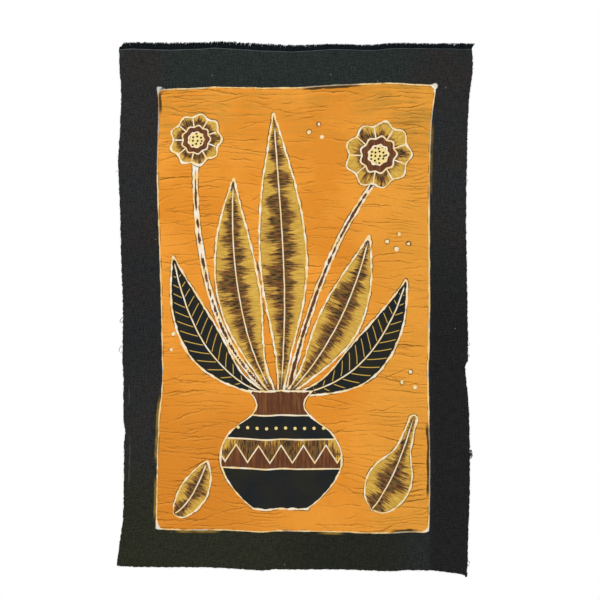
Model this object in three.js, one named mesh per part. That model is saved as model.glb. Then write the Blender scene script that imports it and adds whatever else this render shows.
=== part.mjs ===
// Batik wall hanging: one cut length of dyed cotton that hangs by its top edge.
// The cloth is a thin, uneven sheet with raw sides and a raw hem. The loom's fringed selvedge,
// a narrow bound strip with cut weft ends standing up from it, runs along the top.
// Millimetres, +Z up. The origin is the middle of the cloth's top edge on the face towards the wall,
// so the wall is the plane y = 0 and the picture faces -Y.

import * as THREE from "three";

// Driving dimensions of the cloth
const CLOTH_WIDTH = 400;
const CLOTH_DROP = 600;
const CLOTH_THICKNESS = 1.2;
const CELLS_ACROSS = 28;
const CELLS_DOWN = 48;
const SIDE_CURL_REACH = 42; // how far in from a side its lift off the wall has died away
const HEM_CURL_REACH = 60; // the same above the hem
const FLAT_HEADING = 36; // the top of the cloth, which lies flat on the wall

// Driving dimensions of the fringed selvedge
const SELVEDGE_GAP = 0.3; // between the cloth's top edge and the bound strip
const SELVEDGE_HEIGHT = 1.4;
const FRINGE_STRANDS = 260;
const FRINGE_LENGTH = 4.0;
const FRINGE_UNEVENNESS = 1.3; // the longest strand less the shortest
const FRINGE_LEAN = 1.6; // how far a tip stands to the right of its root
const FRINGE_SPREAD = 0.5; // how much of that lean changes from strand to strand
const LENGTH_STRIDE = 0.618; // steps through the strands' uneven lengths
const LEAN_STRIDE = 0.414; // steps through their uneven leans

// The two sides, from the top down. left and right are how far each raw edge stands outside the
// nominal width, and the lifts are how far it stands off the wall.
const SIDES = [
  { down: 0, left: 2.2, right: 3.4, leftLift: 0.0, rightLift: 0.0 },
  { down: 22, left: 1.8, right: 4.6, leftLift: 0.0, rightLift: 0.0 },
  { down: 41, left: 0.2, right: 2.6, leftLift: 0.2, rightLift: 0.4 },
  { down: 60, left: -0.2, right: 0.2, leftLift: 0.8, rightLift: 1.4 },
  { down: 96, left: 1.2, right: -1.6, leftLift: 1.8, rightLift: 2.2 },
  { down: 133, left: 3.0, right: -2.4, leftLift: 2.4, rightLift: 1.6 },
  { down: 188, left: 0.8, right: -3.2, leftLift: 1.2, rightLift: 1.0 },
  { down: 240, left: -0.2, right: -2.6, leftLift: 0.8, rightLift: 1.8 },
  { down: 300, left: -2.4, right: -1.8, leftLift: 2.0, rightLift: 2.8 },
  { down: 352, left: -2.1, right: -1.4, leftLift: 3.4, rightLift: 2.0 },
  { down: 364, left: -2.2, right: -4.3, leftLift: 3.6, rightLift: 2.2 },
  { down: 381, left: -3.2, right: -3.0, leftLift: 3.4, rightLift: 3.4 },
  { down: 408, left: -3.2, right: -0.6, leftLift: 2.6, rightLift: 5.0 },
  { down: 434, left: -3.4, right: 0.0, leftLift: 2.2, rightLift: 6.0 },
  { down: 446, left: -5.2, right: 0.2, leftLift: 2.4, rightLift: 6.4 },
  { down: 458, left: -3.9, right: 0.5, leftLift: 2.8, rightLift: 6.6 },
  { down: 510, left: -3.7, right: 0.1, leftLift: 4.2, rightLift: 7.2 },
  { down: 545, left: -2.9, right: -1.3, leftLift: 4.4, rightLift: 6.6 },
  { down: 574, left: 1.0, right: -2.0, leftLift: 4.4, rightLift: 6.2 },
  { down: 600, left: 4.2, right: -3.0, leftLift: 4.6, rightLift: 6.4 },
];

// The top edge and the hem, from left to right. top and hem are how far each edge stands outside the
// nominal drop, and hemLift is how far the hem stands off the wall.
const ENDS = [
  { across: -200, top: -0.6, hem: -6.0, hemLift: 1.4 },
  { across: -183, top: 0.7, hem: -4.6, hemLift: 1.2 },
  { across: -150, top: -0.2, hem: -3.8, hemLift: 0.6 },
  { across: -109, top: 0.5, hem: -3.8, hemLift: 1.4 },
  { across: -91, top: 1.4, hem: -3.4, hemLift: 2.2 },
  { across: -54, top: -0.5, hem: -1.7, hemLift: 3.2 },
  { across: -36, top: -1.3, hem: -0.3, hemLift: 2.8 },
  { across: -17, top: -2.0, hem: -1.8, hemLift: 2.0 },
  { across: 1, top: -2.6, hem: -1.2, hemLift: 1.2 },
  { across: 47, top: -0.5, hem: -1.3, hemLift: 0.8 },
  { across: 84, top: -1.3, hem: -0.4, hemLift: 2.0 },
  { across: 112, top: 0.7, hem: 0.5, hemLift: 3.4 },
  { across: 132, top: 0.5, hem: -0.6, hemLift: 3.6 },
  { across: 160, top: 0.2, hem: -0.2, hemLift: 2.6 },
  { across: 180, top: 0.1, hem: 1.6, hemLift: 2.8 },
  { across: 200, top: 0.3, hem: 5.6, hemLift: 3.8 },
];

// The soft swells that stand off the wall between the edges. lean is how far a swell's crest moves to
// the right for each millimetre down.
const SWELLS = [
  { across: -118, down: 190, halfWidth: 70, halfLength: 150, height: 2.6, lean: 0.1 },
  { across: -40, down: 330, halfWidth: 64, halfLength: 210, height: 2.0, lean: -0.12 },
  { across: 36, down: 170, halfWidth: 76, halfLength: 130, height: 2.2, lean: 0.08 },
  { across: 70, down: 430, halfWidth: 72, halfLength: 170, height: 3.0, lean: 0.16 },
  { across: 140, down: 270, halfWidth: 58, halfLength: 160, height: 1.8, lean: -0.06 },
  { across: -120, down: 470, halfWidth: 66, halfLength: 120, height: 2.4, lean: -0.1 },
  { across: -10, down: 540, halfWidth: 80, halfLength: 80, height: 2.2, lean: 0.0 },
];

const DYED_COTTON = new THREE.MeshStandardMaterial({
  name: "dyed_cotton",
  color: new THREE.Color(0xe6963a),
  roughness: 0.92,
  metalness: 0,
});
const SELVEDGE_YARN = new THREE.MeshStandardMaterial({
  name: "selvedge_yarn",
  color: new THREE.Color(0x22262b),
  roughness: 0.96,
  metalness: 0,
});

const { lerp, clamp, smoothstep } = THREE.MathUtils;

// One column of a table at a place between its rows, on a smooth curve through the rows.
function readTable(rows, placeColumn, column, place) {
  const last = rows.length - 1;
  const at = (i) => rows[clamp(i, 0, last)];
  const slope = (i) =>
    (at(i + 1)[column] - at(i - 1)[column]) / (at(i + 1)[placeColumn] - at(i - 1)[placeColumn]);
  const after = clamp(rows.findIndex((row) => row[placeColumn] >= place), 1, last);
  const before = after - 1;
  const span = at(after)[placeColumn] - at(before)[placeColumn];
  const u = clamp((place - at(before)[placeColumn]) / span, 0, 1);
  const step = u * u * (3 - 2 * u);
  const leaving = u * (1 - u) * (1 - u) * span * slope(before);
  const arriving = u * u * (u - 1) * span * slope(after);
  return lerp(at(before)[column], at(after)[column], step) + leaving + arriving;
}

const sideAt = (column, down) => readTable(SIDES, "down", column, down);
const endAt = (column, across) => readTable(ENDS, "across", column, across);

// How much of an edge's lift is left at a distance in from that edge.
function curl(distance, reach) {
  const share = clamp(1 - distance / reach, 0, 1);
  return share * share;
}

// A soft swell's height, which falls smoothly to nothing at its rim.
function swellHeight({ across, down, halfWidth, halfLength, height, lean }, flatX, flatDown) {
  const along = (flatDown - down) / halfLength;
  const aside = (flatX - across - lean * (flatDown - down)) / halfWidth;
  const away = Math.min(1, Math.hypot(along, aside));
  return (height * (1 + Math.cos(Math.PI * away))) / 2;
}

// How far the cloth stands off the wall at a point of the flat cut.
function standOff(flatX, flatDown) {
  const half = CLOTH_WIDTH / 2;
  const free = smoothstep(flatDown, FLAT_HEADING, 4 * FLAT_HEADING);
  const sides =
    sideAt("leftLift", flatDown) * curl(half + flatX, SIDE_CURL_REACH) +
    sideAt("rightLift", flatDown) * curl(half - flatX, SIDE_CURL_REACH);
  const hem = endAt("hemLift", flatX) * curl(CLOTH_DROP - flatDown, HEM_CURL_REACH);
  const swells = SWELLS.reduce((sum, swell) => sum + swellHeight(swell, flatX, flatDown), 0);
  return free * (sides + hem + swells);
}

// Where a point of the flat cut lies in the hanging cloth's own plane, as x and z.
function hungPoint(flatX, flatDown) {
  const half = CLOTH_WIDTH / 2;
  const left = -half - sideAt("left", flatDown);
  const right = half + sideAt("right", flatDown);
  const top = endAt("top", flatX);
  const hem = -CLOTH_DROP - endAt("hem", flatX);
  return {
    x: lerp(left, right, (flatX + half) / CLOTH_WIDTH),
    z: lerp(top, hem, flatDown / CLOTH_DROP),
  };
}

// Moves every vertex of a geometry to the place that a function gives for it.
function reshape(geometry, place) {
  const points = geometry.getAttribute("position");
  const point = new THREE.Vector3();
  for (let i = 0; i < points.count; i += 1) {
    place(point.fromBufferAttribute(points, i));
    points.setXYZ(i, point.x, point.y, point.z);
  }
  geometry.computeVertexNormals();
  return geometry;
}

// The cloth: a flat slab of the cut's size, hung so that its back follows the stand-off from the wall.
function makeCloth() {
  const slab = new THREE.BoxGeometry(
    CLOTH_WIDTH,
    CLOTH_THICKNESS,
    CLOTH_DROP,
    CELLS_ACROSS,
    1,
    CELLS_DOWN,
  );
  const hang = (point) => {
    const flatX = point.x;
    const flatDown = CLOTH_DROP / 2 - point.z;
    const inFront = CLOTH_THICKNESS / 2 - point.y;
    const { x, z } = hungPoint(flatX, flatDown);
    point.set(x, -standOff(flatX, flatDown) - inFront, z);
  };
  return new THREE.Mesh(reshape(slab, hang), DYED_COTTON);
}

// A repeatable uneven number from -0.5 to 0.5 for a strand.
function uneven(strand, stride) {
  return ((strand * stride) % 1) - 0.5;
}

// The fringed selvedge: a slab along the cloth's top edge, parted from it by the gap. Every second column of
// its upper vertices is drawn out into the tip of a strand, and the columns between stay at the bound strip.
function makeFringe() {
  const columns = 2 * FRINGE_STRANDS;
  const slab = new THREE.BoxGeometry(CLOTH_WIDTH, CLOTH_THICKNESS, SELVEDGE_HEIGHT, columns, 1, 1);
  const seat = (point) => {
    const column = Math.round((point.x / CLOTH_WIDTH + 0.5) * columns);
    const strand = (column - 1) / 2;
    const isTip = point.z > 0 && Number.isInteger(strand);
    const length = FRINGE_LENGTH + FRINGE_UNEVENNESS * uneven(strand, LENGTH_STRIDE);
    const lean = FRINGE_LEAN + FRINGE_SPREAD * uneven(strand, LEAN_STRIDE);
    const height = SELVEDGE_GAP + SELVEDGE_HEIGHT / 2 + point.z;
    const { x, z } = hungPoint(point.x, 0);
    point.set(
      isTip ? x + lean : x,
      point.y - CLOTH_THICKNESS / 2,
      isTip ? z + height + length : z + height,
    );
  };
  return new THREE.Mesh(reshape(slab, seat), SELVEDGE_YARN);
}

const hanging = new THREE.Group();
const cloth = makeCloth();
cloth.name = "cloth";
const fringe = makeFringe();
fringe.name = "selvedge_fringe";
hanging.add(cloth, fringe);

export default hanging;
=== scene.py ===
"""Dresses the batik wall hanging, a cut length of wax-resist dyed cotton with a fringed selvedge.

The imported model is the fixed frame. The plain sheet gives way to a dyed, creased cloth with raw edges, and
the comb of strands to fine yarn ends. A soft light, a pale floor and a face-on camera complete the scene.
Sizes are in millimetres on the flat cut, measured across from its middle line and down from its top edge.
"""

from __future__ import annotations

import logging
import math
from dataclasses import dataclass, field
from enum import Enum
from typing import Any, NamedTuple, Sequence, Union

import bpy
import numpy as np
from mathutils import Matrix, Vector

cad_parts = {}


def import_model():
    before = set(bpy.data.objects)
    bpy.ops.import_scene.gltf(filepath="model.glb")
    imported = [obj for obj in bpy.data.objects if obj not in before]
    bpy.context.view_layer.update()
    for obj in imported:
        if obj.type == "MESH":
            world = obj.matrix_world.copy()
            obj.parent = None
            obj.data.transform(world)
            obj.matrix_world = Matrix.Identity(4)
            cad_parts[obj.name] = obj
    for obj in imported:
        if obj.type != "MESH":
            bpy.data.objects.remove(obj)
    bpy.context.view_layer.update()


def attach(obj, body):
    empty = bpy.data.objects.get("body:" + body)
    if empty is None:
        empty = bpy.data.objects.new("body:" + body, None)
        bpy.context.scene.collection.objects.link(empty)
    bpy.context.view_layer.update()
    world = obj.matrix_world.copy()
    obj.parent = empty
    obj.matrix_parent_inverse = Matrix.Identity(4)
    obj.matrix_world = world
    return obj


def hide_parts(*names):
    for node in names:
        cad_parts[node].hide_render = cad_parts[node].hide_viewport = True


LOG = logging.getLogger("batik_hanging")
MM = 0.001
SEED = 41

Array = np.ndarray
Colour = tuple[float, float, float, float]
Spot = tuple[float, float]
Number = Union["Value", float]


def srgb(red: int, green: int, blue: int) -> Colour:
    """Turns a display colour of 0 to 255 into the linear colour that shaders use.

    Args:
        red: The display colour's red.
        green: Its green.
        blue: Its blue.

    Returns:
        The linear colour with full alpha.
    """
    shares = [channel / 255 for channel in (red, green, blue)]
    linear = [s / 12.92 if s <= 0.04045 else ((s + 0.055) / 1.055) ** 2.4 for s in shares]
    return (linear[0], linear[1], linear[2], 1.0)


class SideRow(NamedTuple):
    """One place down the two sides: how far each raw edge stands out, and how far off the wall."""

    down: float
    left: float
    right: float
    left_lift: float
    right_lift: float


class EndRow(NamedTuple):
    """One place along the top edge and the hem: how far each stands out, and the hem's lift."""

    across: float
    top: float
    hem: float
    hem_lift: float


class Swell(NamedTuple):
    """A soft swell off the wall, whose crest moves across by its lean for each millimetre down."""

    across: float
    down: float
    half_width: float
    half_length: float
    height: float
    lean: float


class Crease(NamedTuple):
    """A crease: its course, its trough, the dye that ran in, and how much painted highlight pales it."""

    course: tuple[Spot, ...]
    half_width: float
    depth: float
    dye: float = 0.0
    fold_highlight: float = 0.0


class PanelSideRow(NamedTuple):
    """One place down the waxed frame of the panel: where its left and right lines run."""

    down: float
    left: float
    right: float


class PanelEndRow(NamedTuple):
    """One place across the waxed frame of the panel: where its top and bottom lines run."""

    across: float
    top: float
    bottom: float


class PanelSide(Enum):
    """The four lines of the panel's waxed frame."""

    LEFT = "left"
    RIGHT = "right"
    TOP = "top"
    BOTTOM = "bottom"


class DyeSlip(Enum):
    """What happened beside the waxed line: black ran inside it, or stopped short of it outside."""

    RAN_INSIDE = 1.0
    STOPPED_SHORT = -1.0


class Slipped(NamedTuple):
    """A stretch of the frame where the black dye doesn't end at the waxed line."""

    side: PanelSide
    start: float
    end: float
    slip: DyeSlip


class Layer(Enum):
    """The painted layers of the panel, from the lowest to the topmost, by their attribute's name."""

    STEMS = "stems"
    DARK_LEAVES = "dark_leaves"
    OCHRE_LEAVES = "ochre_leaves"
    BLOSSOMS = "blossoms"
    POT = "pot"


class Face(Enum):
    """The two faces of the cloth."""

    FRONT = "front"
    BACK = "back"


SIDES = (
    SideRow(0, 2.2, 3.4, 0.0, 0.0),
    SideRow(22, 1.8, 4.6, 0.0, 0.0),
    SideRow(41, 0.2, 2.6, 0.2, 0.4),
    SideRow(60, -0.2, 0.2, 0.8, 1.4),
    SideRow(96, 1.2, -1.6, 1.8, 2.2),
    SideRow(133, 3.0, -2.4, 2.4, 1.6),
    SideRow(188, 0.8, -3.2, 1.2, 1.0),
    SideRow(240, -0.2, -2.6, 0.8, 1.8),
    SideRow(300, -2.4, -1.8, 2.0, 2.8),
    SideRow(356, -2.1, -1.4, 3.4, 2.0),
    SideRow(361, -2.2, -4.3, 3.6, 2.2),
    SideRow(381, -3.2, -3.0, 3.4, 3.4),
    SideRow(408, -3.2, -0.6, 2.6, 5.0),
    SideRow(434, -3.4, 0.0, 2.2, 6.0),
    SideRow(446, -5.2, 0.2, 2.4, 6.4),
    SideRow(458, -3.9, 0.5, 2.8, 6.6),
    SideRow(510, -3.7, 0.1, 4.2, 7.2),
    SideRow(545, -2.9, -1.3, 4.4, 6.6),
    SideRow(574, 1.0, -2.0, 4.4, 6.2),
    SideRow(600, 4.2, -3.0, 4.6, 6.4),
)

ENDS = (
    EndRow(-200, -0.6, -6.0, 1.4),
    EndRow(-183, 0.7, -4.6, 1.2),
    EndRow(-150, -0.2, -3.8, 0.6),
    EndRow(-109, 0.5, -3.8, 1.4),
    EndRow(-91, 1.4, -3.4, 2.2),
    EndRow(-54, -0.5, -1.7, 3.2),
    EndRow(-36, -1.3, -0.3, 2.8),
    EndRow(-17, -2.0, -1.8, 2.0),
    EndRow(1, -2.6, -1.2, 1.2),
    EndRow(47, -0.5, -1.3, 0.8),
    EndRow(84, -1.3, -0.4, 2.0),
    EndRow(112, 0.7, 0.5, 3.4),
    EndRow(132, 0.5, -0.6, 3.6),
    EndRow(160, 0.2, -0.2, 2.6),
    EndRow(180, 0.1, 1.6, 2.8),
    EndRow(200, 0.3, 4.6, 3.8),
)

SWELLS = (
    Swell(-118, 190, 70, 150, 2.6, 0.1),
    Swell(-40, 330, 64, 210, 2.0, -0.12),
    Swell(36, 170, 76, 130, 2.2, 0.08),
    Swell(70, 430, 72, 170, 3.0, 0.16),
    Swell(140, 270, 58, 160, 1.8, -0.06),
    Swell(-120, 470, 66, 120, 2.4, -0.1),
    Swell(-10, 540, 80, 80, 2.2, 0.0),
)

CREASES = (
    Crease(((-151, 256), (-128, 247), (-112, 244), (-92, 243), (-63, 247)), 2.6, 0.7, 1.0),
    Crease(((-152, 109), (-141, 107), (-132, 109)), 2.2, 0.4, 0.8),
    Crease(((-155, 130), (-138, 125), (-128, 125)), 2.2, 0.4, 0.7),
    Crease(((-157, 152), (-138, 149), (-112, 148)), 2.4, 0.6, 1.0),
    Crease(((-148, 188), (-132, 188), (-103, 195), (-93, 194)), 2.2, 0.4, 0.7),
    Crease(((89, 343), (115, 340), (152, 343)), 2.6, 0.6, 1.0),
    Crease(((98, 391), (117, 393), (138, 396), (152, 397)), 2.2, 0.4, 0.7),
    Crease(((86, 442), (115, 450), (129, 455), (149, 457)), 2.6, 0.7, 1.0),
    Crease(((101, 474), (125, 477), (152, 478)), 2.2, 0.5, 0.9),
    Crease(((86, 485), (115, 481), (141, 484)), 2.0, 0.4, 0.8),
    Crease(((109, 504), (130, 501), (150, 496)), 2.2, 0.5, 0.9),
    Crease(((115, 511), (134, 510), (152, 506)), 2.0, 0.4, 0.8),
    Crease(((115, 523), (134, 521), (152, 518)), 2.0, 0.4, 0.7),
    Crease(((-141, 506), (-129, 503), (-115, 495), (-92, 483)), 2.4, 0.6, 1.0),
    Crease(((-132, 489), (-118, 483), (-103, 474)), 2.4, 0.5, 0.7),
    Crease(((62, 92), (104, 86), (150, 89)), 2.2, 0.4, 0.6),
    Crease(((-150, 402), (-118, 395), (-88, 398)), 2.4, 0.4, 0.5),
    # Folds of the left raw edge, with a painted highlight along them.
    Crease(((-194, 388), (-193, 402), (-195, 416)), 1.8, 0.7, 0.0, 0.6),
    Crease(((-195, 446), (-193, 466), (-194, 488), (-195, 512)), 1.8, 0.8, 0.0, 0.8),
    Crease(((188, 380), (190, 450), (189, 520), (187, 575)), 2.4, 0.9),
)

PANEL_SIDES = (
    PanelSideRow(44, -157.5, 160.5),
    PanelSideRow(60, -156.4, 159.2),
    PanelSideRow(84, -155.8, 157.7),
    PanelSideRow(174, -155.6, 157.1),
    PanelSideRow(245, -155.1, 156.4),
    PanelSideRow(324, -154.7, 155.4),
    PanelSideRow(370, -154.1, 154.6),
    PanelSideRow(400, -155.6, 154.2),
    PanelSideRow(427, -159.2, 153.9),
    PanelSideRow(470, -161.2, 154.2),
    PanelSideRow(520, -161.4, 154.6),
    PanelSideRow(557, -160.4, 155.0),
)

PANEL_ENDS = (
    PanelEndRow(-160, 47.6, 555.6),
    PanelEndRow(-120, 46.6, 556.8),
    PanelEndRow(-69, 45.4, 556.2),
    PanelEndRow(6, 42.8, 555.4),
    PanelEndRow(50, 41.6, 556.6),
    PanelEndRow(86, 39.6, 557.0),
    PanelEndRow(120, 41.2, 556.2),
    PanelEndRow(160, 43.2, 556.4),
)

SLIPPED = (
    Slipped(PanelSide.RIGHT, 428, 520, DyeSlip.RAN_INSIDE),
    Slipped(PanelSide.RIGHT, 84, 172, DyeSlip.STOPPED_SHORT),
    Slipped(PanelSide.LEFT, 44, 80, DyeSlip.RAN_INSIDE),
    Slipped(PanelSide.LEFT, 398, 482, DyeSlip.STOPPED_SHORT),
    Slipped(PanelSide.LEFT, 494, 548, DyeSlip.STOPPED_SHORT),
    Slipped(PanelSide.TOP, 4, 78, DyeSlip.RAN_INSIDE),
    Slipped(PanelSide.BOTTOM, -140, -84, DyeSlip.STOPPED_SHORT),
    Slipped(PanelSide.BOTTOM, 24, 60, DyeSlip.STOPPED_SHORT),
    Slipped(PanelSide.BOTTOM, 108, 146, DyeSlip.RAN_INSIDE),
)


def read_table(rows: Sequence[tuple], column: str, place: Array) -> Array:
    """Reads one column of a table at places between its rows, on a smooth curve through the rows.

    Args:
        rows: Named rows, in order of their first column.
        column: The column to read.
        place: Where to read it, in the first column's measure.

    Returns:
        The column's value at each place.
    """
    at = np.array([row[0] for row in rows], dtype=float)
    value = np.array([getattr(row, column) for row in rows], dtype=float)
    wide_at = np.concatenate([at[:1], at, at[-1:]])
    wide_value = np.concatenate([value[:1], value, value[-1:]])
    slope = (wide_value[2:] - wide_value[:-2]) / (wide_at[2:] - wide_at[:-2])
    after = np.clip(np.searchsorted(at, place), 1, len(at) - 1)
    before = after - 1
    span = at[after] - at[before]
    u = np.clip((place - at[before]) / span, 0.0, 1.0)
    step = u * u * (3 - 2 * u)
    leaving = u * (1 - u) ** 2 * span * slope[before]
    arriving = u * u * (u - 1) * span * slope[after]
    return value[before] + (value[after] - value[before]) * step + leaving + arriving


def smooth_step(value: Array, low: float, high: float) -> Array:
    """Rises smoothly from 0 at low to 1 at high.

    Args:
        value: The values to ease.
        low: Where the rise starts.
        high: Where it ends.

    Returns:
        The eased share of each value.
    """
    share = np.clip((value - low) / (high - low), 0.0, 1.0)
    return share * share * (3 - 2 * share)


class ShapeField(NamedTuple):
    """What a painted shape knows at a point: its depth inside the outline, and two coordinates."""

    inside: Array
    along: Array
    aside: Array


class WidthRow(NamedTuple):
    """One place along a shape's axis, as a share of its length, and the shape's half-width there."""

    share: float
    half: float


LEAF = (
    WidthRow(0.0, 0.1),
    WidthRow(0.14, 0.34),
    WidthRow(0.36, 0.88),
    WidthRow(0.52, 1.0),
    WidthRow(0.72, 0.76),
    WidthRow(0.9, 0.3),
    WidthRow(1.0, 0.02),
)
STEM = (WidthRow(0.0, 1.1), WidthRow(0.5, 0.95), WidthRow(1.0, 0.8))
DRIP = (WidthRow(0.0, 1.0), WidthRow(0.35, 0.8), WidthRow(1.0, 0.2))
POD = (
    WidthRow(0.0, 0.0),
    WidthRow(0.04, 0.4),
    WidthRow(0.16, 0.76),
    WidthRow(0.44, 1.0),
    WidthRow(0.72, 0.78),
    WidthRow(0.9, 0.4),
    WidthRow(1.0, 0.06),
)
GOURD = (
    WidthRow(0.0, 0.0),
    WidthRow(0.03, 0.4),
    WidthRow(0.1, 0.72),
    WidthRow(0.28, 1.0),
    WidthRow(0.46, 0.84),
    WidthRow(0.64, 0.4),
    WidthRow(0.84, 0.22),
    WidthRow(1.0, 0.16),
)
POT = (
    WidthRow(0.0, 0.44),
    WidthRow(0.1, 0.68),
    WidthRow(0.28, 0.94),
    WidthRow(0.46, 1.0),
    WidthRow(0.64, 0.84),
    WidthRow(0.79, 0.49),
    WidthRow(0.87, 0.39),
    WidthRow(0.94, 0.43),
    WidthRow(1.0, 0.54),
)


@dataclass(frozen=True)
class Blade:
    """A shape drawn about a bent axis, such as a leaf, a stem, a gourd or a pot.

    Its own coordinates are the distance along the axis and the distance to one side of it.
    """

    root: Spot
    bend: Spot
    tip: Spot
    half_width: float
    profile: tuple[WidthRow, ...] = LEAF
    cut_ends: bool = False
    steps: int = 120

    def field(self, across: Array, down: Array) -> ShapeField:
        """Measures the shape at points of the flat cut.

        Args:
            across: The points' distance across.
            down: Their distance down.

        Returns:
            The shape's field at those points.
        """
        t = np.linspace(0.0, 1.0, self.steps)[:, None]
        root, bend, tip = (np.array(spot) for spot in (self.root, self.bend, self.tip))
        axis = (1 - t) ** 2 * root + 2 * t * (1 - t) * bend + t * t * tip
        tangent = np.gradient(axis, axis=0)
        tangent /= np.linalg.norm(tangent, axis=1, keepdims=True)
        reach = np.concatenate([[0.0], np.cumsum(np.linalg.norm(np.diff(axis, axis=0), axis=1))])
        nearest = np.full(across.shape, 0)
        best = np.full(across.shape, np.inf)
        for step, (x, y) in enumerate(axis):
            distance = (across - x) ** 2 + (down - y) ** 2
            closer = distance < best
            best[closer] = distance[closer]
            nearest[closer] = step
        offset_x = across - axis[nearest, 0]
        offset_y = down - axis[nearest, 1]
        along = reach[nearest] + offset_x * tangent[nearest, 0] + offset_y * tangent[nearest, 1]
        aside = offset_y * tangent[nearest, 0] - offset_x * tangent[nearest, 1]
        length = reach[-1]
        half = self.half_width * read_table(self.profile, "half", np.clip(along / length, 0.0, 1.0))
        past = np.maximum(np.maximum(-along, along - length), 0.0)
        inside = half - np.hypot(aside, past)
        if self.cut_ends:
            inside = np.minimum(half - np.abs(aside), np.minimum(along, length - along))
        return ShapeField(inside, along, aside)


@dataclass(frozen=True)
class Disc:
    """A round shape, plain or with lobes, such as a blossom or a dot of wax.

    Its own coordinates are the distances across and down from its middle.
    """

    middle: Spot
    radius: float
    lobes: int = 0
    lobe_depth: float = 0.0

    def field(self, across: Array, down: Array) -> ShapeField:
        """Measures the shape at points of the flat cut.

        Args:
            across: The points' distance across.
            down: Their distance down.

        Returns:
            The shape's field at those points.
        """
        right = across - self.middle[0]
        below = down - self.middle[1]
        turn = np.arctan2(below, right)
        rim = self.radius * (1 + self.lobe_depth * np.cos(self.lobes * turn))
        return ShapeField(rim - np.hypot(right, below), right, below)


Shape = Union[Blade, Disc]
PETALS = 9
POT_HEIGHT = 136.0


def blossom(middle: Spot, radius: float) -> Disc:
    """A round blossom with a lobed rim."""
    return Disc(middle, radius, PETALS, 0.07)


def dots(spots: Sequence[Spot], radius: float = 1.3) -> tuple[Disc, ...]:
    """A group of small dots of wax."""
    return tuple(Disc(spot, radius) for spot in spots)


DESIGN: dict[Layer, tuple[Shape, ...]] = {
    Layer.STEMS: (
        Blade((-8, 394), (24, 250), (94, 152), 2.6, STEM),
        Blade((-30, 394), (-116, 334), (-112, 134), 2.4, STEM),
        *dots(((122, 214), (133, 225), (119, 231), (108, 222))),
        *dots(((-141, 330), (-131, 341), (-144, 348))),
        *dots(((134, 372), (124, 384), (139, 390))),
        *dots(((28, 86), (17, 95), (33, 101))),
    ),
    Layer.DARK_LEAVES: (
        Blade((-34, 397), (-118, 374), (-140, 240), 22),
        Blade((2, 397), (92, 386), (130, 266), 22),
    ),
    Layer.OCHRE_LEAVES: (
        Blade((-26, 396), (-80, 310), (-68, 150), 25),
        Blade((-17, 396), (-4, 250), (-24, 74), 27),
        Blade((-8, 396), (58, 332), (88, 214), 24),
        Blade((88, 530), (112, 500), (136, 426), 26, GOURD),
        Blade((-141, 538), (-122, 530), (-104, 478), 16, POD),
    ),
    Layer.BLOSSOMS: (
        blossom((98, 122), 36),
        blossom((-112, 106), 28),
    ),
    Layer.POT: (Blade((-18, 530), (-18, 462), (-18, 530 - POT_HEIGHT), 70, POT, True),),
}

WAX_SPOTS: tuple[Shape, ...] = (
    Disc((-156.4, 46.2), 2.3),
    Blade((-156.4, 46), (-152, 45.4), (-147, 47.4), 1.7, DRIP),
    Blade((-156.6, 46), (-157, 51), (-156.4, 57), 1.5, DRIP),
    Disc((159.2, 43.4), 3.4),
    Blade((159.6, 43), (159.4, 48), (158.4, 53), 1.9, DRIP),
    Blade((159.4, 42.8), (155, 41.4), (150, 41.6), 1.4, DRIP),
    Disc((-159.0, 553.6), 2.5),
    Blade((-159.2, 554), (-160.4, 548), (-160.8, 541), 1.4, DRIP),
    Blade((-159.0, 554.4), (-153, 556.6), (-148, 556.2), 1.4, DRIP),
    Disc((153.2, 554.4), 2.0),
    Blade((153.6, 554.4), (154.6, 552), (154.6, 548), 1.0, DRIP),
    Blade((153.2, 554.8), (149, 556.6), (144, 556.2), 1.2, DRIP),
)


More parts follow.
